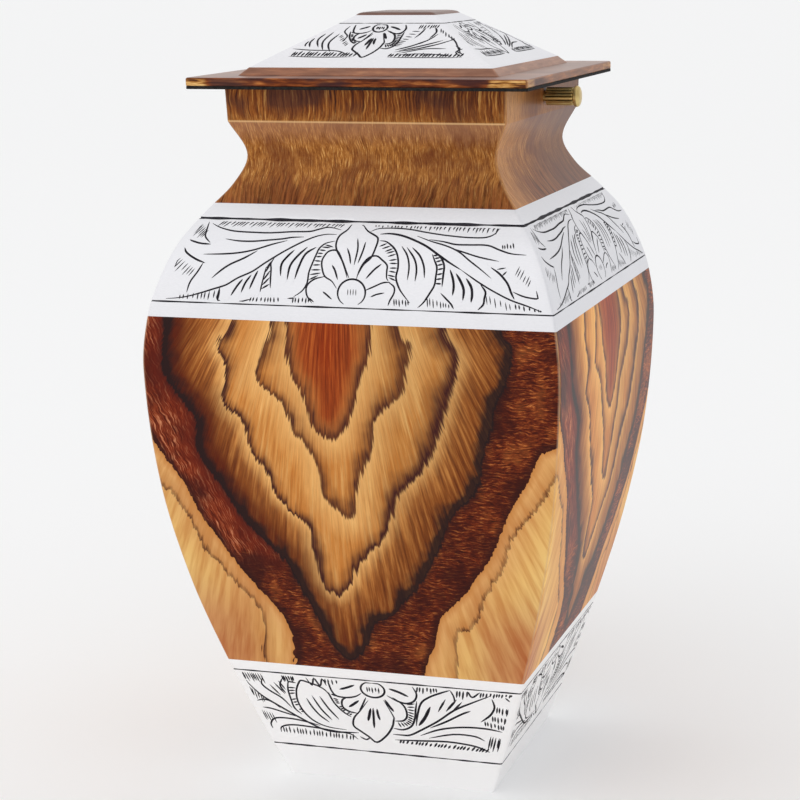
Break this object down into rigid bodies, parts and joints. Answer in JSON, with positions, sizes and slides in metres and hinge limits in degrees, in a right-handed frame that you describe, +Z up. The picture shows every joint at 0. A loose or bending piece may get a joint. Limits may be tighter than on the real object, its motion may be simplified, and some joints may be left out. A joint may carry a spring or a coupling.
{
  "type": "cremation urn box",
  "caption": "Square cast-aluminium cremation urn with a wood-look belly, engraved floral bands, a lift-off lid and a brass thumb screw.",
  "frame": {"origin": "centre of the underside", "axes": "+Z up, the front panel faces -Y, the thumb screw is on the +X side"},
  "size_m": [0.1454, 0.1454, 0.2721],
  "materials": {
    "enamelled_body": "glossy wood-figure enamel over cast aluminium",
    "enamelled_lid": "glossy wood-figure enamel over cast aluminium",
    "bare_band": "satin, hand engraved and ink filled",
    "black_liner": "matte",
    "brass": "polished, reeded grip"
  },
  "bodies": {
    "root": {"urn_body": "enamelled_body", "lid": "enamelled_lid", "lid_gasket": "black_liner", "lock_screw": "brass"}
  },
  "joints": []
}
